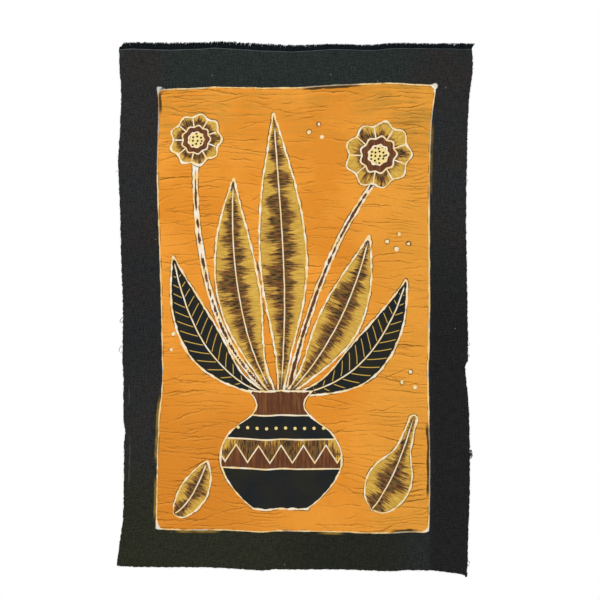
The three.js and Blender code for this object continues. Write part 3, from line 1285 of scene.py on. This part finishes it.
@dataclass
class BatikCloth:
    """The hanging cloth: a finely divided sheet on the cut's folds, creased, dyed and thickened."""

    cut: ClothCut = field(default_factory=ClothCut)
    dye: BatikDye = field(default_factory=BatikDye)
    cells_across: int = 168
    cells_down: int = 254
    raw_edge: float = 0.45
    ripple: float = 0.34
    ripple_start: Spot = (10.0, 90.0)
    corner_radius: float = 6.0
    slip_reach: Spot = (12.0, 8.0)
    slip_ease: float = 12.0
    crack_reach: Spot = (8.0, 5.0)
    smooth_angle: float = 50.0

    def build(self) -> bpy.types.Object:
        """Models the cloth, stores what its dye needs to know, and dresses both faces.

        Returns:
            The finished cloth.
        """
        bpy.ops.object.select_all(action="DESELECT")
        bpy.ops.mesh.primitive_grid_add(
            x_subdivisions=self.cells_across, y_subdivisions=self.cells_down, size=1.0
        )
        cloth = bpy.context.object
        cloth.name = "batik_cloth"
        mesh = cloth.data
        mesh.name = "batik_cloth"
        raw = np.empty(len(mesh.vertices) * 3, dtype=np.float32)
        mesh.vertices.foreach_get("co", raw)
        grid = raw.reshape(-1, 3).astype(float)
        across = grid[:, 0] * self.cut.width
        down = (0.5 - grid[:, 1]) * self.cut.drop
        points = self.hang(across, down)
        mesh.vertices.foreach_set("co", points.astype(np.float32).ravel())
        self.mark(mesh, across, down)
        mesh.materials.append(self.dye.material("batik_face", Face.FRONT))
        mesh.materials.append(self.dye.material("batik_back", Face.BACK))
        self.thicken(cloth)
        return cloth

    def hang(self, across: Array, down: Array) -> Array:
        """Hangs the flat grid: its folds, its creases, a light ripple and the raw edges.

        Args:
            across: The vertices' distance across.
            down: Their distance down.

        Returns:
            Their places in metres.
        """
        forward = np.full(across.shape, self.cut.middle_depth + self.cut.thickness / 2)
        for crease in CREASES:
            away, kept = self.crease_distance(crease, across, down)
            forward -= crease.depth * kept * np.exp(-((away / crease.half_width) ** 2))
        upright = np.sin(across / 11.0 + 1.7 * np.sin(down / 37.0)) * np.sin(down / 53.0 + across / 61.0)
        level = np.sin(down / 8.5 + 2.1 * np.sin(across / 47.0)) * np.sin(across / 29.0)
        forward += self.ripple * smooth_step(down, *self.ripple_start) * (upright + 0.7 * level)
        points = self.cut.place(across, down, forward)
        random = np.random.default_rng(SEED)
        jag = random.uniform(-self.raw_edge, self.raw_edge, (across.size, 2)) * MM
        at_side = np.isclose(np.abs(across), self.cut.width / 2)
        at_hem = np.isclose(down, self.cut.drop)
        points[at_side, 0] += jag[at_side, 0]
        points[at_hem, 2] += jag[at_hem, 1]
        return points

    def crease_distance(self, crease: Crease, across: Array, down: Array) -> tuple[Array, Array]:
        """Measures the signed distance from a crease, and how much of it is left towards its ends.

        Args:
            crease: The crease.
            across: The points' distance across.
            down: Their distance down.

        Returns:
            The distance to one side of the crease, and its strength from 0 to 1.
        """
        course = np.array(crease.course, dtype=float)
        lengths = np.linalg.norm(np.diff(course, axis=0), axis=1)
        starts = np.concatenate([[0.0], np.cumsum(lengths)])
        best = np.full(across.shape, np.inf)
        signed = np.full(across.shape, np.inf)
        place = np.zeros(across.shape)
        for start, end, begun, length in zip(course[:-1], course[1:], starts, lengths):
            heading = (end - start) / length
            along = (across - start[0]) * heading[0] + (down - start[1]) * heading[1]
            held = np.clip(along, 0.0, length)
            off_x = across - start[0] - held * heading[0]
            off_y = down - start[1] - held * heading[1]
            distance = np.hypot(off_x, off_y)
            side = np.where(heading[0] * off_y - heading[1] * off_x < 0, -1.0, 1.0)
            closer = distance < best
            best[closer] = distance[closer]
            signed[closer] = (distance * side)[closer]
            place[closer] = (begun + held)[closer]
        share = place / starts[-1]
        return signed, np.sqrt(np.clip(4 * share * (1 - share), 0.0, 1.0))

    def mark(self, mesh: bpy.types.Mesh, across: Array, down: Array) -> None:
        """Stores the flat cut's coordinates, the painted shapes, the frame and the cracks on the mesh.

        Args:
            mesh: The cloth's mesh.
            across: The vertices' distance across.
            down: Their distance down.
        """
        write_vectors(mesh, "flat", np.stack([across, down, np.zeros_like(down)], axis=-1))
        for layer, shapes in DESIGN.items():
            fields = [shape.field(across, down) for shape in shapes]
            depths = np.stack([drawn.inside for drawn in fields])
            chosen = np.argmax(depths, axis=0)
            columns = [np.choose(chosen, parts) for parts in zip(*fields)]
            write_vectors(mesh, layer.value, np.stack(columns, axis=-1))
        write_vectors(mesh, "panel", self.frame_field(across, down))
        write_vectors(mesh, "cracks", self.crack_field(across, down))

    def frame_field(self, across: Array, down: Array) -> Array:
        """Measures the panel's waxed frame.

        Args:
            across: The points' distance across.
            down: Their distance down.

        Returns:
            For each point its depth inside the frame, inside a spot of wax, and the share of slipped dye.
        """
        depth = {
            PanelSide.LEFT: across - read_table(PANEL_SIDES, "left", down),
            PanelSide.RIGHT: read_table(PANEL_SIDES, "right", down) - across,
            PanelSide.TOP: down - read_table(PANEL_ENDS, "top", across),
            PanelSide.BOTTOM: read_table(PANEL_ENDS, "bottom", across) - down,
        }
        beside = np.minimum(depth[PanelSide.LEFT], depth[PanelSide.RIGHT])
        within = np.minimum(depth[PanelSide.TOP], depth[PanelSide.BOTTOM])
        turned = self.corner_radius - np.hypot(
            np.maximum(self.corner_radius - beside, 0.0), np.maximum(self.corner_radius - within, 0.0)
        )
        inside = np.minimum(np.minimum(beside, within), turned)
        spot = np.maximum.reduce([shape.field(across, down).inside for shape in WAX_SPOTS])
        slipped = np.zeros(across.shape)
        for row in SLIPPED:
            run = down if row.side in (PanelSide.LEFT, PanelSide.RIGHT) else across
            near = smooth_step(np.abs(depth[row.side]), *self.slip_reach)
            begun = smooth_step(run, row.start, row.start + self.slip_ease)
            ended = smooth_step(run, row.end, row.end - self.slip_ease)
            slipped += row.slip.value * near * begun * ended
        return np.stack([inside, spot, slipped], axis=-1)

    def crack_field(self, across: Array, down: Array) -> Array:
        """Measures the dyed creases, and the painted highlight along the folds of the left edge.

        Args:
            across: The points' distance across.
            down: Their distance down.

        Returns:
            For each point its distance from the nearest crease, and that crease's dye and painted highlight
            there.
        """
        nearest = np.full(across.shape, 1e3)
        taken = np.zeros(across.shape)
        fold_highlight = np.zeros(across.shape)
        for crease in CREASES:
            away, kept = self.crease_distance(crease, across, down)
            closer = np.abs(away) < np.abs(nearest)
            nearest[closer] = away[closer]
            taken[closer] = (crease.dye * kept)[closer]
            fold_highlight[closer] = (crease.fold_highlight * kept)[closer]
        near = smooth_step(np.abs(nearest), *self.crack_reach)
        return np.stack([nearest, taken * near, fold_highlight * near], axis=-1)

    def thicken(self, cloth: bpy.types.Object) -> None:
        """Gives the sheet its thickness, with the second material on its back, and smooths its faces.

        Args:
            cloth: The cloth.
        """
        choose(cloth)
        solid = cloth.modifiers.new("thickness", "SOLIDIFY")
        solid.thickness = self.cut.thickness * MM
        solid.offset = -1.0
        solid.material_offset = 1
        bpy.ops.object.modifier_apply(modifier=solid.name)
        bpy.ops.object.shade_smooth_by_angle(angle=math.radians(self.smooth_angle))


class Tubes(NamedTuple):
    """Many thin closed tubes: their vertices, their faces, and a tone and a reach for each vertex."""

    points: Array
    faces: Array
    caps: Array
    yarn: Array


def make_tubes(courses: Array, radii: Array, tones: Array, sides: int) -> Tubes:
    """Makes closed tubes along many courses of the same number of points.

    Args:
        courses: The tubes' courses in metres, by tube, point and coordinate.
        radii: The radius at each point, by tube and point.
        tones: One tone for each tube.
        sides: How many sides each tube has.

    Returns:
        The tubes.
    """
    count, rings, _ = courses.shape
    tangent = np.gradient(courses, axis=1)
    tangent /= np.linalg.norm(tangent, axis=2, keepdims=True) + 1e-12
    across = np.cross(tangent, np.array([0.0, 1.0, 0.02]))
    across /= np.linalg.norm(across, axis=2, keepdims=True) + 1e-12
    other = np.cross(tangent, across)
    turn = np.arange(sides) * math.tau / sides
    spoke = np.cos(turn)[:, None] * across[:, :, None] + np.sin(turn)[:, None] * other[:, :, None]
    points = courses[:, :, None] + radii[:, :, None, None] * spoke
    index = np.arange(count * rings * sides).reshape(count, rings, sides)
    following = np.roll(index, -1, axis=2)
    faces = np.stack([index[:, :-1], following[:, :-1], following[:, 1:], index[:, 1:]], axis=-1)
    caps = np.concatenate([index[:, 0, ::-1], index[:, -1]])
    tone = np.broadcast_to(tones[:, None, None], index.shape)
    reach = np.broadcast_to(np.linspace(0.0, 1.0, rings)[None, :, None], index.shape)
    yarn = np.stack([tone, reach, np.zeros(index.shape)], axis=-1)
    return Tubes(points.reshape(-1, 3), faces.reshape(-1, 4), caps, yarn.reshape(-1, 3))


def join_tubes(name: str, groups: Sequence[Tubes], material: bpy.types.Material) -> bpy.types.Object:
    """Joins groups of tubes into one mesh object.

    Args:
        name: The object's name.
        groups: The groups of tubes.
        material: Their material.

    Returns:
        The object.
    """
    mesh = bpy.data.meshes.new(name)
    faces: list[list[int]] = []
    start = 0
    for group in groups:
        faces += (group.faces + start).tolist()
        faces += (group.caps + start).tolist()
        start += len(group.points)
    mesh.from_pydata(np.concatenate([group.points for group in groups]).tolist(), [], faces)
    write_vectors(mesh, "yarn", np.concatenate([group.yarn for group in groups]))
    mesh.materials.append(material)
    made = add_object(name, mesh)
    choose(made)
    bpy.ops.object.mode_set(mode="EDIT")
    bpy.ops.mesh.select_all(action="SELECT")
    bpy.ops.mesh.normals_make_consistent(inside=False)
    bpy.ops.object.mode_set(mode="OBJECT")
    bpy.ops.object.shade_smooth()
    return made


@dataclass
class SelvedgeFringe:
    """The fringed selvedge: fine yarn ends that stand up from a bound line along the cloth's top edge."""

    cut: ClothCut = field(default_factory=ClothCut)
    ends: int = 4200
    length: float = 7.7
    unevenness: float = 1.5
    lean: float = 1.5
    lean_spread: float = 0.9
    yarn_radius: float = 0.31
    taper: tuple[float, ...] = (1.0, 1.1, 0.95, 0.45)
    corner_lean: float = 1.6
    corner_reach: float = 9.0
    root_depth: float = 1.4
    right_drop: float = 1.4
    short_start: float = 5.0
    tuft_widths: tuple[float, float] = (0.7, 2.0)
    binding_radius: float = 0.46
    binding_points: int = 200
    end_finish: YarnFinish = YarnFinish(srgb(14, 19, 23), srgb(36, 43, 48))
    # binding_highlight_finish: pale grey, paler along its reach, a painted highlight on the top edge's fold
    binding_highlight_finish: YarnFinish = YarnFinish(srgb(54, 60, 62), srgb(102, 109, 111), 0.95, 0.5)

    def build(self) -> tuple[bpy.types.Object, bpy.types.Object]:
        """Models the yarn ends and the bound line.

        Returns:
            The fringe and the binding.
        """
        return self.build_ends(), self.build_binding()

    def shortened(self, across: Array) -> Array:
        """How far the fringe has shrunk towards the right, from 0 to 1."""
        return smooth_step(across, -30.0, 70.0)

    def foot(self, across: Array) -> Array:
        """How far below the cloth's top edge the yarn ends start."""
        return self.root_depth - 0.6 * self.shortened(across)

    def build_ends(self) -> bpy.types.Object:
        """Models the yarn ends, uneven in length, lean and tone.

        Returns:
            The fringe.
        """
        random = np.random.default_rng(SEED + 1)
        half = self.cut.width / 2
        pitch = self.cut.width / self.ends
        across = np.linspace(-half, half, self.ends) + random.uniform(-pitch, pitch, self.ends)
        across = np.clip(across, -half, half)
        rise = np.linspace(0.0, 1.0, len(self.taper))[None, :]
        wave = 0.5 * np.sin(across / 2.3 + 2.0 * np.sin(across / 7.1)) + 0.4 * np.sin(across / 13.0)
        starts = np.cumsum(random.uniform(*self.tuft_widths, self.ends)) - half
        tuft = np.searchsorted(starts, across)
        combed = random.uniform(-1.0, 1.0, self.ends)[tuft] * (1 - 0.8 * self.shortened(across))
        spread = random.uniform(-0.5, 0.5, self.ends) + 0.28 * wave + 0.42 * combed
        length = self.length + self.unevenness * spread
        length -= self.right_drop * self.shortened(across)
        length *= 0.5 + 0.5 * smooth_step(across + half, 0.0, self.short_start)
        lean = self.lean + self.lean_spread * random.normal(0.0, 0.6, self.ends)
        lean += self.corner_lean * smooth_step(across, half - self.corner_reach, half)
        tilt = random.normal(0.0, 0.35, self.ends)
        depth = random.uniform(0.25, 1.0, self.ends)
        x, top = self.cut.hung(across, np.zeros(self.ends))
        courses = np.stack(
            [
                x[:, None] + lean[:, None] * rise**1.5,
                -depth[:, None] + tilt[:, None] * rise**2,
                (top - self.foot(across))[:, None] + length[:, None] * rise,
            ],
            axis=-1,
        )
        radii = self.yarn_radius * random.uniform(0.8, 1.25, (self.ends, 1)) * np.array(self.taper)
        tuft_tones = random.uniform(0.0, 1.0, self.ends)[tuft]
        tones = ((random.uniform(0.0, 1.0, self.ends) + tuft_tones) / 2) ** 1.6
        tubes = make_tubes(courses * MM, radii * MM, tones, 3)
        return join_tubes("selvedge_ends", [tubes], self.end_finish.material("selvedge_yarn_ends"))

    def build_binding(self) -> bpy.types.Object:
        """Models the bound line at the foot of the ends, in a pale grey that grows paler towards the left: a
        painted highlight where the folded top edge catches the light from the upper left.

        Returns:
            The binding.
        """
        half = self.cut.width / 2
        # Laid from right to left, so that the painted highlight grows towards the left.
        across = np.linspace(half - 0.6, -half + 0.6, self.binding_points)
        x, top = self.cut.hung(across, np.zeros(self.binding_points))
        sway = 0.25 * np.sin(across / 19.0) + 0.12 * np.sin(across / 5.3)
        front = self.cut.middle_depth + self.cut.thickness / 2
        course = np.stack([x, np.full(x.shape, -front), top - self.foot(across) + sway], axis=-1)
        radii = self.binding_radius * (1 + 0.15 * np.sin(across / 3.1))
        tubes = make_tubes(course[None] * MM, radii[None] * MM, np.array([0.15]), 8)
        return join_tubes("selvedge_binding", [tubes], self.binding_highlight_finish.material("selvedge_binding_highlight"))


class LooseEnd(NamedTuple):
    """A loose thread at a raw edge: where it leaves the cloth, which way, its length, curl and thickness."""

    across: float
    down: float
    heading: float
    length: float
    curl: float
    radius: float = 0.26


LOOSE_ENDS = (
    LooseEnd(200, 458, 40, 6, -420, 0.4),
    LooseEnd(200, 459, -40, 7, 520, 0.45),
    LooseEnd(200, 461, -50, 9, 500, 0.45),
    LooseEnd(200, 462, 10, 12, -480, 0.42),
    LooseEnd(200, 464, -20, 9, 520, 0.45),
    LooseEnd(200, 466, -70, 4, 260, 0.35),
    LooseEnd(200, 339, 15, 4, 120),
    LooseEnd(200, 349, -20, 4, -140),
    LooseEnd(200, 583, -20, 4, -90, 0.4),
    LooseEnd(200, 587, -70, 3, 120, 0.35),
    LooseEnd(200, 152, 20, 3, 110),
    LooseEnd(-200, 142, 165, 3, 90),
    LooseEnd(-200, 312, 212, 7, 70, 0.32),
    LooseEnd(-200, 318, 195, 3, -120),
    LooseEnd(-200, 344, 218, 9, 62, 0.34),
    LooseEnd(-200, 352, 170, 3, 130),
    LooseEnd(198, 600, -100, 3, 200, 0.6),
)


@dataclass
class EdgeThreads:
    """The raw edges' short fray and the few loose threads that hang out of them."""

    cut: ClothCut = field(default_factory=ClothCut)
    pitch: float = 2.1
    length: float = 1.4
    yarn_radius: float = 0.16
    taper: tuple[float, ...] = (1.0, 0.9, 0.5)
    loose_points: int = 22
    finish: YarnFinish = YarnFinish(srgb(22, 22, 22), srgb(52, 51, 49))

    def build(self) -> bpy.types.Object:
        """Models the fray along the sides and the hem, and the loose threads.

        Returns:
            The joined threads.
        """
        groups = [self.fray(), self.loose()]
        return join_tubes("edge_threads", groups, self.finish.material("raw_edge_yarn"))

    def front(self, across: Array, down: Array) -> Array:
        """Points in the middle of the cloth's thickness, in metres."""
        return self.cut.place(across, down, np.full(across.shape, self.cut.middle_depth))

    def fray(self) -> Tubes:
        """Short fibre ends all along the two sides and the hem.

        Returns:
            The fibre ends.
        """
        random = np.random.default_rng(SEED + 2)
        half, drop = self.cut.width / 2, self.cut.drop
        down = np.arange(4.0, drop, self.pitch)
        hem = np.arange(-half + 1.0, half, self.pitch)
        across = np.concatenate([np.full(down.size, -half), np.full(down.size, half), hem])
        below = np.concatenate([down, down, np.full(hem.size, drop)])
        heading = np.concatenate([np.full(down.size, 180.0), np.zeros(down.size), np.full(hem.size, -90.0)])
        count = across.size
        heading = np.radians(heading + random.normal(0.0, 34.0, count))
        length = self.length * random.uniform(0.35, 1.25, count)
        rise = np.linspace(-0.4, 1.0, len(self.taper))[None, :]
        bend = random.normal(0.0, 0.5, count)[:, None] * rise**2
        reach = length[:, None] * rise
        offset = np.stack(
            [
                reach * np.cos(heading)[:, None] - bend * np.sin(heading)[:, None],
                random.normal(0.0, 0.2, count)[:, None] * np.clip(rise, 0.0, 1.0),
                reach * np.sin(heading)[:, None] + bend * np.cos(heading)[:, None],
            ],
            axis=-1,
        )
        courses = self.front(across, below)[:, None] + offset * MM
        radii = self.yarn_radius * random.uniform(0.7, 1.2, (count, 1)) * np.array(self.taper) * MM
        return make_tubes(courses, radii, random.uniform(0.0, 0.8, count), 3)

    def loose(self) -> Tubes:
        """The loose threads, each on a course that curls as it leaves the edge.

        Returns:
            The loose threads.
        """
        share = np.linspace(0.0, 1.0, self.loose_points)
        courses = []
        for end in LOOSE_ENDS:
            turn = np.radians(end.heading + end.curl * share**1.3)
            step = end.length / (self.loose_points - 1)
            x = np.concatenate([[0.0], np.cumsum(np.cos(turn[:-1]) * step)])
            z = np.concatenate([[0.0], np.cumsum(np.sin(turn[:-1]) * step)])
            y = -0.8 * np.sin(share * math.pi)
            root = self.front(np.array([end.across]), np.array([end.down]))
            courses.append(root + np.stack([x, y, z], axis=-1) * MM)
        thickness = np.array([end.radius for end in LOOSE_ENDS])
        radii = np.repeat(thickness[:, None], self.loose_points, axis=1) * MM
        tones = np.linspace(0.2, 0.8, len(LOOSE_ENDS))
        return make_tubes(np.array(courses), radii, tones, 5)


@dataclass
class Studio:
    """The pale floor, the soft light and the face-on camera."""

    frame_width: float = 690.0
    frame_middle: Spot = (5.9, 289.1)
    distance: float = 2.0
    sensor: float = 36.0
    floor_drop: float = 0.82
    floor_radius: float = 1.0
    key_place: tuple[float, float, float] = (-1.3, -2.1, 0.7)
    key_size: float = 1.5
    key_power: float = 24.0
    sky: float = 0.72

    def build(self) -> None:
        """Sets up the floor, the light and the camera."""
        self.lay_floor()
        self.light()
        self.aim_camera()
        bpy.context.scene.view_settings.view_transform = "Standard"

    def lay_floor(self) -> None:
        """Lays a pale round floor well below the hem."""
        bpy.ops.object.select_all(action="DESELECT")
        bpy.ops.mesh.primitive_circle_add(
            vertices=96, radius=self.floor_radius, fill_type="NGON", location=(0.0, 0.0, -self.floor_drop)
        )
        bpy.ops.object.transform_apply(location=True)
        floor = bpy.context.object
        floor.name = "studio_floor"
        paint = new_material("pale_floor")
        Graph(paint.node_tree).surface({"Base Color": srgb(236, 235, 232), "Roughness": 0.8})
        floor.data.materials.append(paint)

    def light(self) -> None:
        """Lights the cloth from a white surround and one large soft lamp at the upper left."""
        world = bpy.data.worlds.new("white_surround")
        bpy.context.scene.world = world
        world.use_nodes = True
        graph = Graph(world.node_tree)
        path = graph.node("ShaderNodeLightPath")
        white = (1.0, 1.0, 1.0, 1.0)
        cast = graph.node("ShaderNodeBackground", None, {"Color": white, "Strength": self.sky})
        seen = graph.node("ShaderNodeBackground", None, {"Color": white, "Strength": 1.0})
        shares = {
            0: Value(graph, path.outputs["Is Camera Ray"]),
            1: Value(graph, cast.outputs[0]),
            2: Value(graph, seen.outputs[0]),
        }
        mixed = graph.node("ShaderNodeMixShader", None, shares)
        graph.node("ShaderNodeOutputWorld", None, {0: Value(graph, mixed.outputs[0])})
        lamp = bpy.data.lights.new("soft_key", "AREA")
        lamp.shape = "DISK"
        lamp.size = self.key_size
        lamp.energy = self.key_power
        key = add_object("soft_key", lamp)
        key.location = self.key_place
        self.turn_to_cloth(key)

    def turn_to_cloth(self, item: bpy.types.Object) -> None:
        """Turns a lamp or camera to face the middle of the view."""
        target = Vector((self.frame_middle[0] * MM, 0.0, -self.frame_middle[1] * MM))
        item.rotation_euler = (target - item.location).to_track_quat("-Z", "Y").to_euler()

    def aim_camera(self) -> None:
        """Places the camera square in front, with the frame's width at the cloth."""
        data = bpy.data.cameras.new("face_on")
        data.sensor_width = self.sensor
        data.lens = self.sensor * self.distance / (self.frame_width * MM)
        camera = add_object("face_on", data)
        camera.location = (self.frame_middle[0] * MM, -self.distance, -self.frame_middle[1] * MM)
        camera.rotation_euler = (math.pi / 2, 0.0, 0.0)
        bpy.context.scene.camera = camera


def main() -> None:
    """Loads the frame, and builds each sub-assembly in order."""
    logging.basicConfig(level=logging.INFO, format="%(name)s: %(message)s")
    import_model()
    Studio().build()
    cloth = BatikCloth().build()
    fringe, binding = SelvedgeFringe().build()
    threads = EdgeThreads().build()
    slots = {
        cloth: "dyed_cotton",
        fringe: "selvedge_yarn",
        binding: "selvedge_yarn",
        threads: "dyed_cotton",
    }
    for piece, slot in slots.items():
        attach(piece, "root")
        LOG.info("%s: %d faces", piece.name, len(piece.data.polygons))
    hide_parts("cloth")
    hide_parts("selvedge_fringe")


if __name__ == "__main__":
    main()
